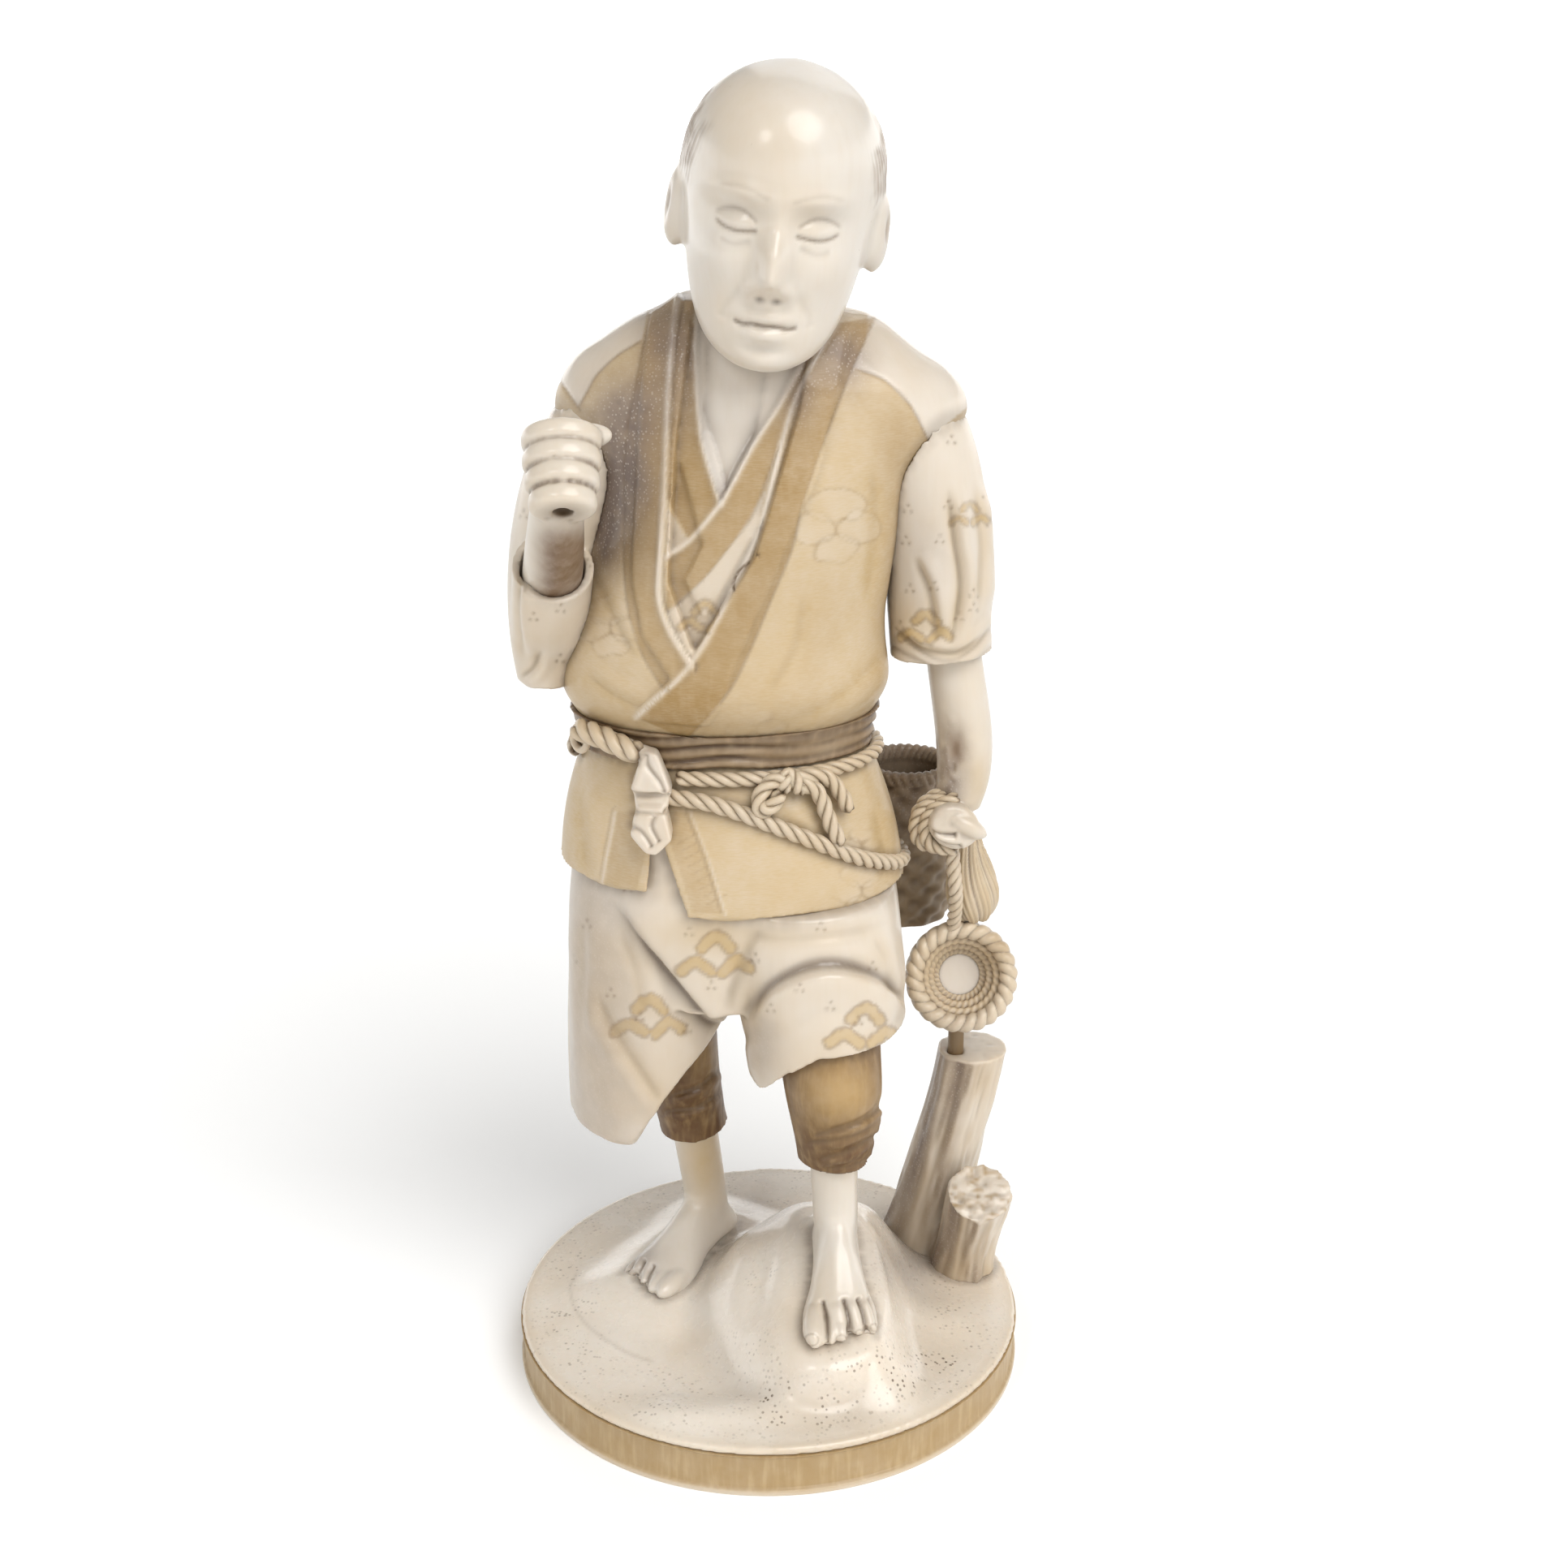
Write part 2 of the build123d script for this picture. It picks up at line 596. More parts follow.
# Coat body: chest and inner robe in one block, the coat over them, its lapels and the inner collar
COAT_SECTIONS = [
    (WAIST_HEIGHT, WAIST_X, WAIST_Y, WAIST_HALF_WIDTH, WAIST_HALF_DEPTH),
    (
        WAIST_HEIGHT + 0.055 * TORSO_LENGTH,
        WAIST_X,
        WAIST_Y,
        WAIST_HALF_WIDTH + 0.7,
        WAIST_HALF_DEPTH + 0.7,
    ),
    (WAIST_HEIGHT + 0.12 * TORSO_LENGTH, WAIST_X, 2.0, COAT_HALF_WIDTH + 0.4, COAT_HALF_DEPTH - 0.2),
    (WAIST_HEIGHT + 0.30 * TORSO_LENGTH, WAIST_X + 0.8, 1.0, COAT_HALF_WIDTH, COAT_HALF_DEPTH),
    (WAIST_HEIGHT + 0.50 * TORSO_LENGTH, -3.6, 1.0, COAT_HALF_WIDTH - 0.8, COAT_HALF_DEPTH - 0.2),
    (WAIST_HEIGHT + 0.65 * TORSO_LENGTH, -1.5, 2.0, COAT_HALF_WIDTH + 0.8, COAT_HALF_DEPTH - 1.2),
    (SHOULDER_HEIGHT, SHOULDER_X, SHOULDER_Y, SHOULDER_HALF_WIDTH, SHOULDER_HALF_DEPTH),
]
COLLAR_HALF_WIDTH, COLLAR_HALF_DEPTH = NECK_RADIUS + 3.6, NECK_RADIUS + 2.0
for share, fall in ((0.24, 0.07), (0.46, 0.25), (0.66, 0.47), (0.84, 0.74), (1.0, 1.0)):
    COAT_SECTIONS.append(
        (
            SHOULDER_HEIGHT + share * (NECK_HEIGHT - SHOULDER_HEIGHT),
            SHOULDER_X - 1.2 * min(1.0, 4 * fall),
            SHOULDER_Y,
            SHOULDER_HALF_WIDTH + fall * (COLLAR_HALF_WIDTH - SHOULDER_HALF_WIDTH),
            SHOULDER_HALF_DEPTH + fall * (COLLAR_HALF_DEPTH - SHOULDER_HALF_DEPTH),
        )
    )


def above_waist(outline):
    """An outline in X and in height above the waist, moved up to the waist."""
    return [(x, WAIST_HEIGHT + rise) for x, rise in outline]


OPEN_FRONT = [(-10.3, 76), (-13.6, 51), (-14.9, 31), (-11.0, 19.5), (-1.6, 35), (5.0, 55.6), (9.2, 76)]
RIGHT_LAPEL = OPEN_FRONT[:4] + [(-12.5, 13), (-18.9, 22), (-20.7, 31), (-19.4, 51), (-17.0, 76)]
LEFT_LAPEL = OPEN_FRONT[:2:-1] + [(-19.6, 8.8), (-9.3, 8.2), (-0.6, 28), (7.6, 47), (15.2, 76)]
RIGHT_COLLAR = [(-8.6, 76), (-9.6, 56), (-5.8, 43), (-9.6, 37), (-13.4, 50), (-13.0, 76)]
LEFT_COLLAR = [(3.4, 76), (-1.4, 52), (-12.4, 31), (-9.4, 25), (4.6, 50), (8.4, 76)]
coat_outer = upright(COAT_SECTIONS)
coat_core = upright(COAT_SECTIONS, -COAT_WALL)
open_front = front_prism(above_waist(OPEN_FRONT), REACH)
strips = []
for outline, rise in (
    (RIGHT_LAPEL, LAPEL_RISE),
    (LEFT_LAPEL, LAPEL_RISE),
    (RIGHT_COLLAR, COLLAR_RISE - COAT_WALL),
    (LEFT_COLLAR, COLLAR_RISE - COAT_WALL),
):
    skin = upright(COAT_SECTIONS, rise)
    cut = front_prism(above_waist(outline), REACH)
    with BuildPart() as strip:
        add(skin)
        add(cut, mode=Mode.INTERSECT)
    strips.append(strip.part)

# Head: a bald skull and jaw with ears and a plain nose, on a neck that goes down into the collar
lean, nod = radians(HEAD_LEAN), radians(HEAD_NOD)
HEAD_PLANE = Plane(
    HEAD_CENTRE,
    x_dir=(cos(lean), 0, -sin(lean)),
    z_dir=(sin(lean) * cos(nod), -sin(nod), cos(lean) * cos(nod)),
)


def head_frame(side, back, rise):
    """A frame in the head's own axes, at shares of its width, depth and height from its middle."""
    place = (side * HEAD_WIDTH, back * HEAD_DEPTH, rise * HEAD_HEIGHT)
    return Plane(HEAD_PLANE.from_local_coords(place), x_dir=HEAD_PLANE.x_dir, z_dir=HEAD_PLANE.z_dir)


neck_foot = Vector(HEAD_X - 0.6, SHOULDER_Y - 1.0, NECK_HEIGHT - 3.5 * PEG_DEPTH)
neck = limb(
    [neck_foot, head_frame(0, 0.10, -0.20).origin],
    [(NECK_RADIUS + 0.4, NECK_RADIUS), (NECK_RADIUS, NECK_RADIUS + 0.8)],
)
HEAD_SECTIONS = (
    (-0.495, -0.26, 0.13, 0.10),
    (-0.43, -0.20, 0.29, 0.22),
    (-0.28, -0.08, 0.41, 0.36),
    (-0.09, 0.00, 0.47, 0.455),
    (0.12, 0.03, 0.50, 0.50),
    (0.28, 0.03, 0.47, 0.47),
    (0.42, 0.025, 0.33, 0.335),
    (0.50, 0.02, 0.06, 0.06),
)
ears = [
    ellipsoid(head_frame(side, 0.04, -0.04), 0.14 * EAR_HEIGHT, 0.28 * EAR_HEIGHT, 0.50 * EAR_HEIGHT)
    for side in (-0.49, 0.49)
]
nose = ellipsoid(
    head_frame(0, -0.44, -0.10), 0.09 * HEAD_WIDTH, 0.09 * HEAD_DEPTH, 0.11 * HEAD_HEIGHT
)
with BuildPart() as head:
    for rise, back, half_width, half_depth in HEAD_SECTIONS:
        with BuildSketch(head_frame(0, back, rise)):
            Ellipse(half_width * HEAD_WIDTH, half_depth * HEAD_DEPTH)
    loft()
    add(neck)
    add(nose)
    for ear in ears:
        add(ear)
neck_peg, neck_hole = peg_and_hole(
    neck_foot - Vector(0, 0, PEG_DEPTH), neck_foot + Vector(0, 0, PEG_DEPTH)
)
with BuildPart() as pegged_head:
    add(head.part)
    add(neck_hole, mode=Mode.SUBTRACT)
write(pegged_head.part, "head")
write(neck_peg, "neck_peg")

with BuildPart() as coat_block:
    add(coat_outer)
    add(open_front, mode=Mode.SUBTRACT)
    add(coat_core)
    for strip_part in strips:
        add(strip_part)
    add(head.part, mode=Mode.SUBTRACT)

# Shoulders: a dowel on each side carries the sleeve that hangs under the coat's cap
ARM_PEG_LEVEL = Vector(0, 0, -6.0)
right_shoulder = Vector(SHOULDER_X - SHOULDER_HALF_WIDTH + SLEEVE_RADIUS, SHOULDER_Y, SHOULDER_HEIGHT - 1.0)
left_shoulder = Vector(SHOULDER_X + SHOULDER_HALF_WIDTH - SLEEVE_RADIUS, SHOULDER_Y, SHOULDER_HEIGHT - 1.0)
right_arm_peg, right_arm_hole = peg_and_hole(
    right_shoulder + ARM_PEG_LEVEL + Vector(PEG_DEPTH, 0, 0),
    right_shoulder + ARM_PEG_LEVEL - Vector(1.4 * PEG_DEPTH, 0, 0),
)
left_arm_peg, left_arm_hole = peg_and_hole(
    left_shoulder + ARM_PEG_LEVEL - Vector(PEG_DEPTH, 0, 0),
    left_shoulder + ARM_PEG_LEVEL + Vector(1.4 * PEG_DEPTH, 0, 0),
)
write(Compound(children=[right_arm_peg, left_arm_peg]), "shoulder_pegs")
with BuildPart() as coat_body:
    add(coat_block.part)
    for hole in (neck_hole, waist_hole, right_arm_hole, left_arm_hole):
        add(hole, mode=Mode.SUBTRACT)
write(coat_body.part, "coat_body")

# Right forearm and fist: four rolled fingers round a grip, the thumb laid over the top one
GRIP_AXIS = Vector(-0.05, sin(radians(GRIP_TILT)), cos(radians(GRIP_TILT))).normalized()


def fist(centre, axis, facing, radius):
    """Four finger rolls stacked along a grip axis, with the thumb and the palm behind them."""
    pieces = []
    for index in range(4):
        middle = centre + axis * (1.5 - index) * FINGER_THICKNESS
        roll_radius = radius * (1.0 - 0.05 * index * index / 3)
        with BuildPart() as roll:
            with BuildSketch(Plane(middle - axis * 0.5 * FINGER_THICKNESS, x_dir=facing, z_dir=axis)):
                Ellipse(roll_radius, 0.86 * roll_radius)
            extrude(amount=FINGER_THICKNESS)
            fillet(roll.edges(), 0.32 * FINGER_THICKNESS)
        pieces.append(roll.part)
    knuckles = Plane(centre + axis * 1.9 * FINGER_THICKNESS, x_dir=facing, z_dir=axis)
    thumb_root = knuckles.from_local_coords((0.45 * radius, 0.25 * radius, 0))
    thumb_frame = Plane(thumb_root, x_dir=knuckles.x_dir, z_dir=knuckles.z_dir)
    pieces.append(ellipsoid(thumb_frame, 0.80 * radius, 0.36 * radius, 0.34 * radius))
    palm_frame = Plane(centre + axis * 0.1 * FINGER_THICKNESS, x_dir=facing, z_dir=axis)
    pieces.append(ellipsoid(palm_frame, 0.88 * radius, 0.78 * radius, 2.0 * FINGER_THICKNESS))
    return pieces


right_cuff = Vector(ELBOW_X + 2.4, ELBOW_Y - 11.0, ELBOW.Z + 12.0)
wrist = FIST_CENTRE - GRIP_AXIS * 1.1 * FINGER_THICKNESS + Vector(-1.0, 2.0, -1.0)
forearm_root = ELBOW + (right_cuff - ELBOW) * 0.50
right_fist = fist(FIST_CENTRE, GRIP_AXIS, Vector(1, 0, 0.05), FIST_RADIUS)
right_bone = limb(
    [forearm_root, forearm_root + (wrist - forearm_root) * 0.55 + Vector(0, 0, -1.0), wrist],
    [(FOREARM_RADIUS - slimmer,) * 2 for slimmer in (0.0, 0.2, 0.9)],
)
grip = peg_between(
    FIST_CENTRE - GRIP_AXIS * 3.2 * FINGER_THICKNESS,
    FIST_CENTRE + GRIP_AXIS * 3.4 * FINGER_THICKNESS,
    GRIP_RADIUS,
)
with BuildPart() as right_forearm:
    for piece in right_fist:
        add(piece)
    add(right_bone)
    add(grip, mode=Mode.SUBTRACT)
write(right_forearm.part, "right_forearm")

# Right sleeve: down to a bag under the elbow, and up along the forearm to an open cuff
upper_sleeve = limb(
    [
        right_shoulder,
        right_shoulder + (ELBOW - right_shoulder) * 0.36 + Vector(-2.4, 0, 0),
        right_shoulder + (ELBOW - right_shoulder) * 0.75 + Vector(-1.4, 0, 0),
        ELBOW + Vector(-1.0, 0, -SLEEVE_BAG),
    ],
    [
        (SLEEVE_RADIUS - 0.8, SLEEVE_RADIUS + 0.8),
        (SLEEVE_RADIUS - 0.6, SLEEVE_RADIUS + 0.6),
        (SLEEVE_RADIUS - 1.6, SLEEVE_RADIUS),
        (SLEEVE_RADIUS - 5.0, SLEEVE_RADIUS - 3.6),
    ],
)
CUFF_SIZE = (SLEEVE_RADIUS - 3.0, SLEEVE_RADIUS - 2.0)
forearm_sleeve = limb(
    [ELBOW + Vector(0, 2.0, -3.0), ELBOW + (right_cuff - ELBOW) * 0.5 + Vector(0, 0, -2.0), right_cuff],
    [CUFF_SIZE] * 3,
)
cuff_hollow = limb(
    [ELBOW + (right_cuff - ELBOW) * 0.48, right_cuff + (right_cuff - ELBOW) * 0.06],
    [(CUFF_SIZE[0] - SLEEVE_WALL, CUFF_SIZE[1] - SLEEVE_WALL)] * 2,
)
with BuildPart() as right_sleeve:
    add(upper_sleeve)
    add(forearm_sleeve)
    add(cuff_hollow, mode=Mode.SUBTRACT)
    add(right_forearm.part, mode=Mode.SUBTRACT)
    add(coat_block.part, mode=Mode.SUBTRACT)
    add(right_arm_hole, mode=Mode.SUBTRACT)
write(right_sleeve.part, "right_sleeve")

# Left arm: the forearm hangs out of a wide cuff, with the hand closed over the carrying cord
left_cuff = Vector(CUFF_X, SHOULDER_Y, CUFF_HEIGHT)
left_fist = fist(
    HAND_CENTRE, Vector(0.15, -1, 0.1).normalized(), Vector(1, 0.15, -0.6), LEFT_HAND_RADIUS
)
left_bone = limb(
    [
        Vector(LEFT_ARM_X - 2.2, SHOULDER_Y, CUFF_HEIGHT + 0.9 * CUFF_HOLLOW),
        Vector(LEFT_ARM_X - 1.2, SHOULDER_Y, CUFF_HEIGHT - 0.5 * CUFF_HOLLOW),
        Vector(LEFT_ARM_X + 0.4, SHOULDER_Y - 0.5, 0.45 * CUFF_HEIGHT + 0.55 * HAND_HEIGHT),
        HAND_CENTRE + Vector(1.6, 0.8, 2.0),
    ],
    [(FOREARM_RADIUS - slimmer,) * 2 for slimmer in (0.0, 0.1, 0.0, 0.9)],
)
with BuildPart() as left_forearm:
    for piece in left_fist:
        add(piece)
    add(left_bone)
    add(coat_tails.part, mode=Mode.SUBTRACT)
write(left_forearm.part, "left_forearm")

hanging_sleeve = limb(
    [
        left_shoulder,
        left_shoulder + (left_cuff - left_shoulder) * 0.35 + Vector(2.0, 0, 0),
        left_shoulder + (left_cuff - left_shoulder) * 0.70 + Vector(1.2, 0, 0),
        left_cuff,
    ],
    [
        (SLEEVE_RADIUS - 0.8, SLEEVE_RADIUS + 0.6),
        (SLEEVE_RADIUS - 0.6, SLEEVE_RADIUS + 0.4),
        (SLEEVE_RADIUS - 0.8, SLEEVE_RADIUS - 0.2),
        (CUFF_HALF_WIDTH, CUFF_HALF_DEPTH),
    ],
)
sleeve_hollow = limb(
    [left_cuff + Vector(0, 0, -1.0), left_cuff + Vector(0.6, 0, CUFF_HOLLOW)],
    [(CUFF_HALF_WIDTH - SLEEVE_WALL, CUFF_HALF_DEPTH - SLEEVE_WALL)] * 2,
)
with BuildPart() as left_sleeve:
    add(hanging_sleeve)
    add(sleeve_hollow, mode=Mode.SUBTRACT)
    add(left_forearm.part, mode=Mode.SUBTRACT)
    add(coat_block.part, mode=Mode.SUBTRACT)
    add(left_arm_hole, mode=Mode.SUBTRACT)
write(left_sleeve.part, "left_sleeve")

# Sash: a band wrapped over the seam between coat and tails
SASH_BOTTOM = WAIST_HEIGHT - 0.10 * SASH_HEIGHT
sash_skins = [upright(TAILS_SECTIONS, SASH_WALL), upright(COAT_SECTIONS[:4], SASH_WALL)]
with BuildPart() as sash_shell:
    for skin in sash_skins:
        add(skin)
with BuildPart() as sash:
    with BuildSketch(Plane.XY.offset(SASH_BOTTOM)):
        Rectangle(4 * REACH, 4 * REACH)
    extrude(amount=SASH_HEIGHT)
    add(sash_shell.part, mode=Mode.INTERSECT)
    add(coat_block.part, mode=Mode.SUBTRACT)
    add(tails_outer, mode=Mode.SUBTRACT)
write(sash.part, "sash")


def on_tails(angle, drop, lift):
    """A point over the tails: degrees round from his left side to the front, drop below the waist."""
    share = max(drop, 0) / TAILS_LENGTH
    flare = TAILS_FLARE * (1.9 * share - 0.9 * share * share) + 0.2 * max(-drop, 0)
    half_width = WAIST_HALF_WIDTH + flare + lift
    half_depth = WAIST_HALF_DEPTH + flare + lift
    x = WAIST_X + (HIP_X - WAIST_X) * share + half_width * cos(radians(angle))
    y = WAIST_Y + (HIP_Y - WAIST_Y) * share - half_depth * sin(radians(angle))
    return Vector(x, y, WAIST_HEIGHT - drop)


# Waist rope: round under the sash from the tag to the ring, tied in a bow at the front
ROPE_DROP = WAIST_HEIGHT - SASH_BOTTOM + ROPE_RADIUS
ROPE_LIFT = ROPE_RADIUS + GLUE_LINE
BELT_START, BELT_SWEEP = -107.0, 302.0
KNOT_ANGLE = 66.0
belt_side, belt_front = on_tails(0, ROPE_DROP, ROPE_LIFT), on_tails(90, ROPE_DROP, ROPE_LIFT)
with BuildPart() as belt:
    with BuildLine(Plane.XY.offset(belt_side.Z)) as belt_path:
        EllipticalCenterArc(
            (belt_front.X, belt_side.Y),
            belt_side.X - belt_front.X,
            belt_side.Y - belt_front.Y,
            BELT_START,
            arc_size=BELT_SWEEP,
        )
    with BuildSketch(Plane(origin=belt_path.line @ 0, z_dir=belt_path.line % 0)):
        Circle(ROPE_RADIUS)
    sweep(path=belt_path.line)
knot = on_tails(KNOT_ANGLE, ROPE_DROP + 0.4, 1.6 * ROPE_LIFT)
bow_loop = limb(
    [
        on_tails(KNOT_ANGLE + turn, ROPE_DROP + drop, lift * ROPE_LIFT)
        for turn, drop, lift in ((0, 0.4, 1.6), (6, 1.2, 1.5), (12, 2.6, 1.3))
    ],
    [(0.8 * ROPE_RADIUS, ROPE_RADIUS), (1.3 * ROPE_RADIUS,) * 2, (1.4 * ROPE_RADIUS, 1.1 * ROPE_RADIUS)],
)
bow_ends = [
    rope(
        [on_tails(KNOT_ANGLE - back, ROPE_DROP + drop, 1.5 * ROPE_LIFT) for back, drop in route],
        ROPE_RADIUS,
    )
    for route in (
        [(0, 0.2), (13, 0.6), (18, 5.8)],
        [(2, 0.8), (9, 2.0), (10.5, 6.0), (14, 10.0)],
    )
]
knot_ball = ellipsoid(Plane(knot), 1.5 * ROPE_RADIUS, 1.3 * ROPE_RADIUS, 1.5 * ROPE_RADIUS)
with BuildPart() as waist_rope:
    add(belt.part)
    add(knot_ball)
    add(bow_loop)
    for end in bow_ends:
        add(end)
    add(tails_outer, mode=Mode.SUBTRACT)
    add(sash.part, mode=Mode.SUBTRACT)
write(waist_rope.part, "waist_rope")

# Hip rope: slack from the tag down across the front, and round to the creel on his left hip
HIP_ROPE_ROUTE = [
    (122, 4.6),
    (104, 4.6),
    (90, 5.6),
    (62, 11.4),
    (41, 16.7),
    (8, 21.6),
    (-25, 21.6),
    (-58, 19.0),
]
hip_run = rope([on_tails(angle, drop, ROPE_LIFT) for angle, drop in HIP_ROPE_ROUTE], ROPE_RADIUS)
with BuildPart() as hip_rope:
    add(hip_run)
    add(tails_outer, mode=Mode.SUBTRACT)
    add(waist_rope.part, mode=Mode.SUBTRACT)
    add(left_forearm.part, mode=Mode.SUBTRACT)
write(hip_rope.part, "hip_rope")

# Toggle: a ring, a stretch of thick cord and a folded cloth tag, over the sash on his right
RING_ANGLE, TAG_ANGLE = 152.0, 118.0
RING_DROP = -2.0
ring_centre = on_tails(RING_ANGLE, RING_DROP, SASH_WALL + RING_THICKNESS + 0.6)
outward = Vector(cos(radians(RING_ANGLE)), -1.6 * sin(radians(RING_ANGLE)), 0.1)
with BuildPart(Plane(ring_centre, z_dir=outward)) as ring:
    Torus(RING_RADIUS, RING_THICKNESS)
twisted_cord = rope(
    [
        on_tails(RING_ANGLE - 3, RING_DROP - RING_RADIUS, SASH_WALL + CORD_RADIUS),
        on_tails(0.5 * (RING_ANGLE + TAG_ANGLE), RING_DROP - RING_RADIUS, SASH_WALL + CORD_RADIUS),
        on_tails(TAG_ANGLE, RING_DROP, SASH_WALL + CORD_RADIUS),
    ],
    1.3 * CORD_RADIUS,
)
tag_top = on_tails(TAG_ANGLE, RING_DROP - CORD_RADIUS, 0)
TAG_TIERS = (
    (TAG_HALF_DEPTH, ((0.0, 0.28), (0.42, 1.0))),
    (0.7 * TAG_HALF_DEPTH, ((0.40, 0.92), (0.56, 0.80))),
    (1.1 * TAG_HALF_DEPTH, ((0.54, 0.66), (0.84, 1.0), (1.0, 0.25))),
)
tag_tiers = []
for depth, levels in TAG_TIERS:
    sides = [
        [(tag_top.X + side * TAG_HALF_WIDTH * width, tag_top.Z - TAG_LENGTH * fall) for fall, width in levels]
        for side in (-1, 1)
    ]
    cut = front_prism(sides[0] + sides[1][::-1], REACH)
    skins = [upright(sections, SASH_WALL + 2 * depth) for sections in (TAILS_SECTIONS, COAT_SECTIONS[:4])]
    with BuildPart() as tier:
        for skin in skins:
            add(skin)
        add(cut, mode=Mode.INTERSECT)
    tag_tiers.append(tier.part)
with BuildPart() as toggle_knot:
    add(ring.part)
    add(twisted_cord)
    for tier_part in tag_tiers:
        add(tier_part)
    for seat in (tails_outer, sash.part, coat_block.part, waist_rope.part, hip_rope.part):
        add(seat, mode=Mode.SUBTRACT)
write(toggle_knot.part, "toggle_knot")

# Straw basket: a shallow coiled bowl with its mouth turned to the front, over the stump
BASKET_AXIS = Vector(0, -cos(radians(BASKET_TILT)), sin(radians(BASKET_TILT)))
BASKET_FRAME = Plane(BASKET_CENTRE, x_dir=(1, 0, 0), z_dir=BASKET_AXIS)
MOUTH = 0.5 * BASKET_DEPTH
RIM = 0.5 * (BASKET_RADIUS - BASKET_MOUTH)
basket_profile = Plane(BASKET_CENTRE, x_dir=(1, 0, 0), z_dir=BASKET_FRAME.y_dir * -1)
with BuildPart() as bowl:
    with BuildSketch(basket_profile):
        with BuildLine():
            Polyline(
                (BASKET_MOUTH, MOUTH - RIM),
                (BASKET_FLOOR_RADIUS, MOUTH - BASKET_HOLLOW),
                (0, MOUTH - BASKET_HOLLOW),
                (0, -MOUTH),
                (0.5 * BASKET_RADIUS, -MOUTH),
            )
            Spline(
                (0.5 * BASKET_RADIUS, -MOUTH),
                (0.86 * BASKET_RADIUS, -0.35 * MOUTH),
                (BASKET_RADIUS, MOUTH - RIM),
            )
            ThreePointArc(
                (BASKET_RADIUS, MOUTH - RIM),
                (BASKET_RADIUS - RIM, MOUTH),
                (BASKET_MOUTH, MOUTH - RIM),
            )
        make_face()
    revolve(axis=Axis(BASKET_CENTRE, BASKET_AXIS))
stump_top = Vector(STUMP_TOP_X, STUMP_TOP_Y, GROUND_LEVEL + STUMP_HEIGHT)
basket_foot = BASKET_CENTRE - BASKET_AXIS * 0.35 * BASKET_DEPTH
basket_pin, basket_hole = peg_and_hole(
    Vector(basket_foot.X, basket_foot.Y, stump_top.Z - PEG_DEPTH),
    Vector(basket_foot.X, basket_foot.Y, basket_foot.Z - 0.5 * BASKET_RADIUS + 1.0),
)
write(basket_pin, "basket_pin")
with BuildPart() as straw_basket:
    add(bowl.part)
    add(basket_hole, mode=Mode.SUBTRACT)
write(straw_basket.part, "straw_basket")

# Tree stump: a leaning trunk with spread roots and a cut branch, pegged to the ground
trunk = upright(
    [
        (level.Z, level.X, level.Y, radius, radius)
        for level, radius in (
            (stump_foot - Vector(0, 0, GROUND_EDGE), STUMP_ROOT_RADIUS + 0.6),
            (stump_foot + (stump_top - stump_foot) * 0.12, STUMP_ROOT_RADIUS - 0.8),
            (stump_foot + (stump_top - stump_foot) * 0.40, STUMP_RADIUS + 0.3),
            (stump_foot + (stump_top - stump_foot) * 0.72, STUMP_RADIUS - 0.1),
            (stump_top, STUMP_RADIUS),
        )
    ]
)
branch_foot = Vector(BASE_RADIUS - BRANCH_FOOT_INSET, BRANCH_FOOT_Y, GROUND_LEVEL - GROUND_EDGE)
branch_end = Vector(BASE_RADIUS - BRANCH_END_INSET, BRANCH_END_Y, GROUND_LEVEL + BRANCH_RISE)
branch_rest = (branch_end - branch_foot).normalized() * BRANCH_RADIUS
branch = limb(
    [branch_foot, (branch_foot + branch_end) * 0.5 + Vector(0, 1.0, 0), branch_end, branch_end + branch_rest],
    [(BRANCH_RADIUS + 0.6,) * 2, (BRANCH_RADIUS - 0.3,) * 2, (BRANCH_RADIUS,) * 2, (BRANCH_RADIUS,) * 2],
)
saw = Plane(branch_end, z_dir=(0, -sin(radians(BRANCH_SAW_TILT)), cos(radians(BRANCH_SAW_TILT))))
with BuildPart() as sawn_branch:
    add(branch)
    split(bisect_by=saw, keep=Keep.BOTTOM)
with BuildPart() as tree_stump:
    add(trunk)
    add(sawn_branch.part)
    split(bisect_by=Plane.XY.offset(GROUND_LEVEL), keep=Keep.TOP)
    add(stump_hole, mode=Mode.SUBTRACT)
    add(basket_hole, mode=Mode.SUBTRACT)
write(tree_stump.part, "tree_stump")
write(stump_peg, "stump_peg")

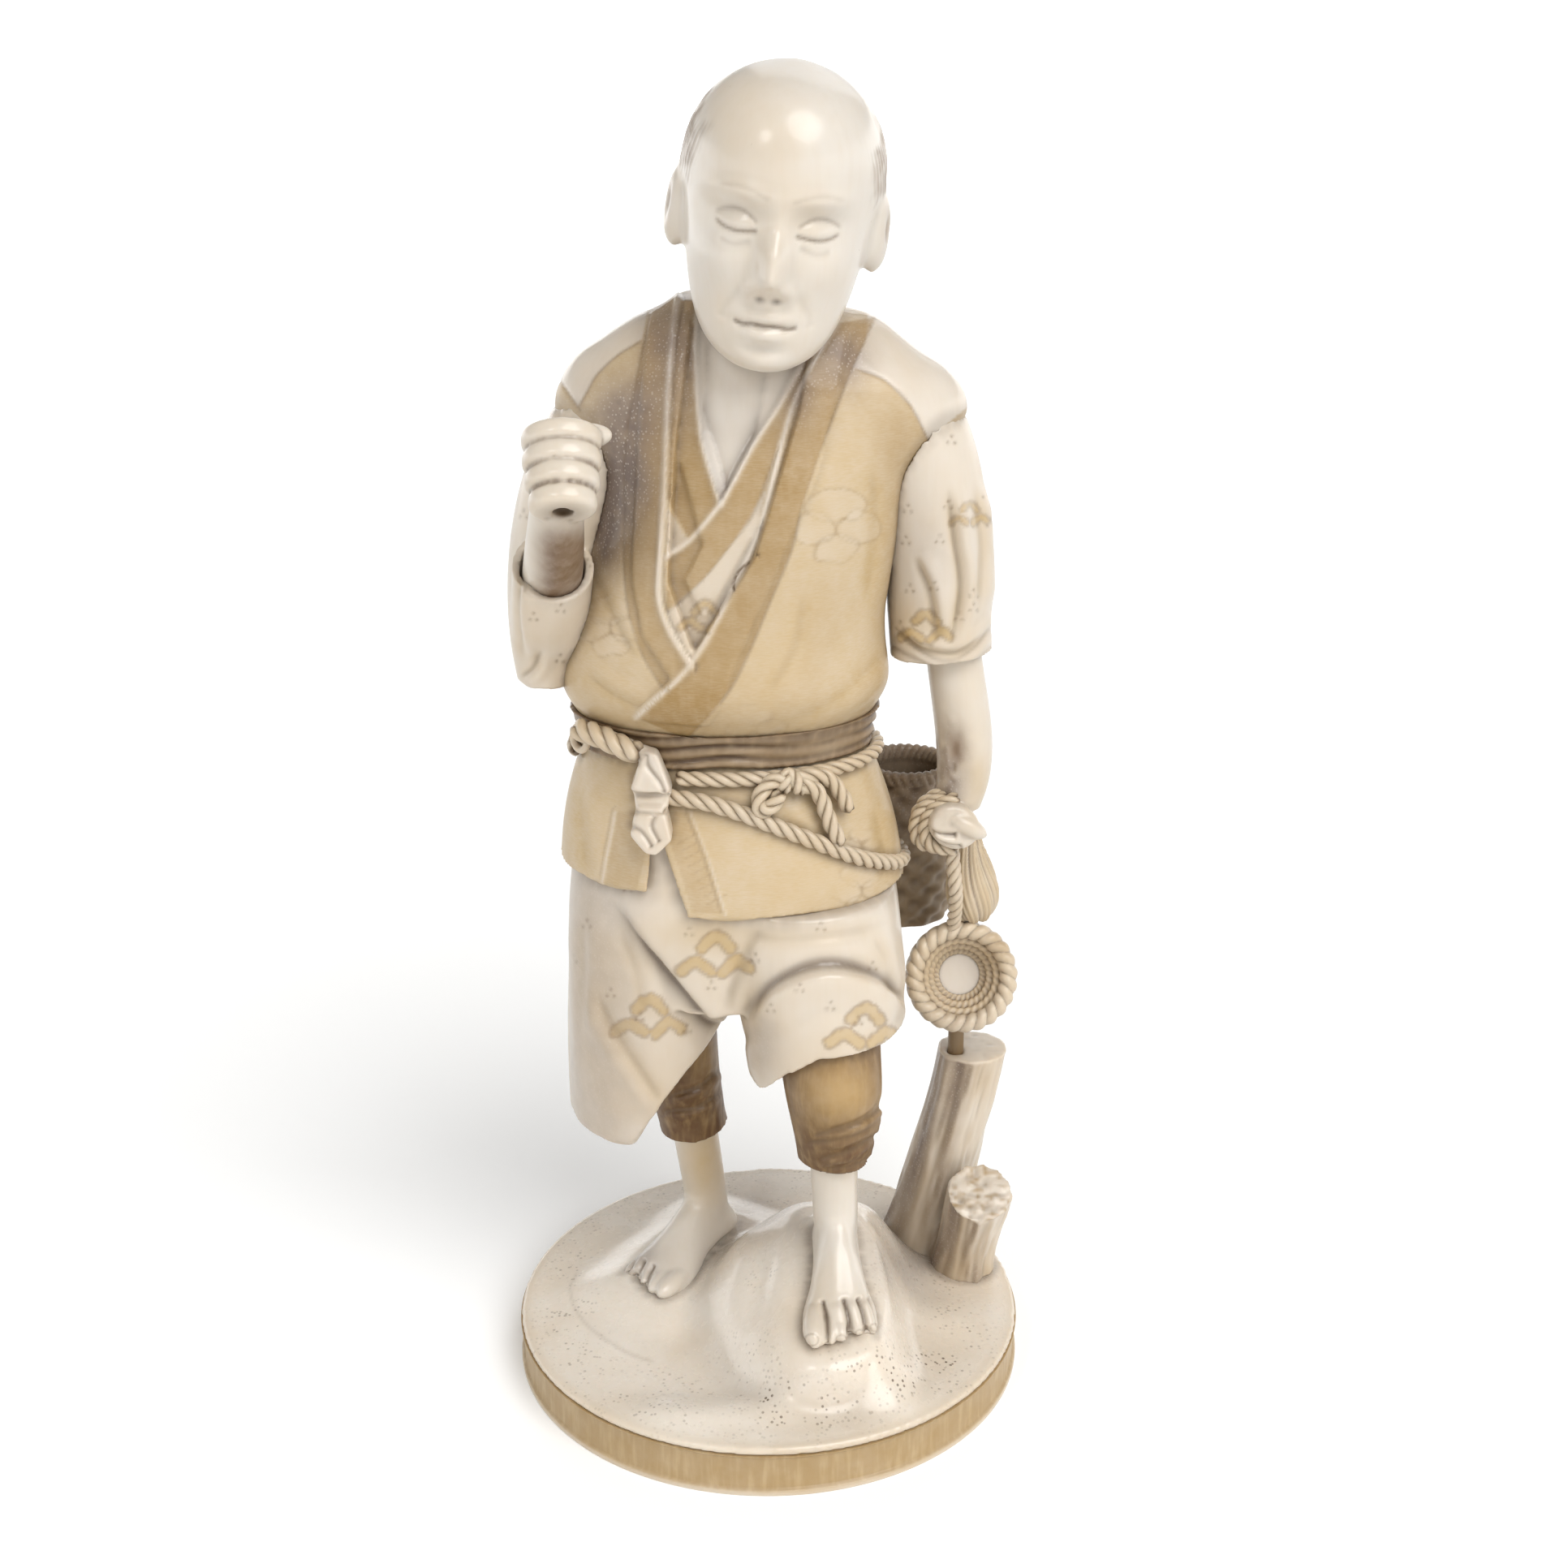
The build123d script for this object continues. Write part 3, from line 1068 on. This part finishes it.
# Creel: a woven barrel on the left hip, hollow under its rim, hollowed to sit against the robe
CREEL_PROFILE = ((0.0, 0.80), (0.12, 0.90), (0.45, 1.0), (0.80, 0.90), (0.90, 0.86), (1.0, 0.92))
with BuildPart() as barrel:
    for share, width in CREEL_PROFILE:
        with BuildSketch(Plane((CREEL_X, CREEL_Y, CREEL_TOP - CREEL_HEIGHT * (1 - share)))):
            Circle(CREEL_RADIUS * width)
    loft()
with BuildPart() as creel_hollow:
    for share, width in CREEL_PROFILE[1:]:
        with BuildSketch(Plane((CREEL_X, CREEL_Y, CREEL_TOP - CREEL_HEIGHT * (1 - share)))):
            Circle(CREEL_RADIUS * width - CREEL_WALL)
    loft()
with BuildPart() as creel:
    add(barrel.part)
    add(creel_hollow.part, mode=Mode.SUBTRACT)
    for seat in (robe_skirt.part, tails_outer, hip_rope.part):
        add(seat, mode=Mode.SUBTRACT)
write(creel.part, "creel")

# Pouch and cord: a gourd-shaped straw pouch and the cord that carries it and the basket
POUCH_PROFILE = ((0.0, 0.55), (0.18, 0.95), (0.42, 1.0), (0.68, 0.72), (0.86, 0.52), (1.0, 0.40))
pouch_body = limb(
    [
        POUCH_CENTRE + Vector(-1.2 * share, 0.6 * share, POUCH_LENGTH * (share - 0.5))
        for share, _ in POUCH_PROFILE
    ],
    [(POUCH_RADIUS * width,) * 2 for _, width in POUCH_PROFILE],
)
with BuildPart() as pouch:
    add(pouch_body)
    for seat in (left_forearm.part, straw_basket.part, creel.part):
        add(seat, mode=Mode.SUBTRACT)
write(pouch.part, "pouch")
grasp = HAND_CENTRE + Vector(-1.0, -1.5, 0)
coil = rope(
    [
        grasp + Vector(1.0, 0, 4.5),
        grasp + Vector(-3.0, -1.0, 3.6),
        grasp + Vector(-5.0, -1.0, -0.6),
        grasp + Vector(-3.4, -1.0, -4.6),
        grasp + Vector(1.0, 0, -4.8),
    ],
    CORD_RADIUS,
)
hanging_cord = rope(
    [
        grasp + Vector(1.6, 0.5, -2.0),
        grasp + Vector(2.2, -0.5, -9.0),
        BASKET_FRAME.from_local_coords((-1.5, BASKET_RADIUS - RIM, MOUTH - RIM)),
    ],
    CORD_RADIUS,
)
with BuildPart() as hand_cord:
    add(coil)
    add(hanging_cord)
    for seat in (left_forearm, straw_basket, pouch, creel, coat_tails, hip_rope):
        add(seat.part, mode=Mode.SUBTRACT)
write(hand_cord.part, "hand_cord")
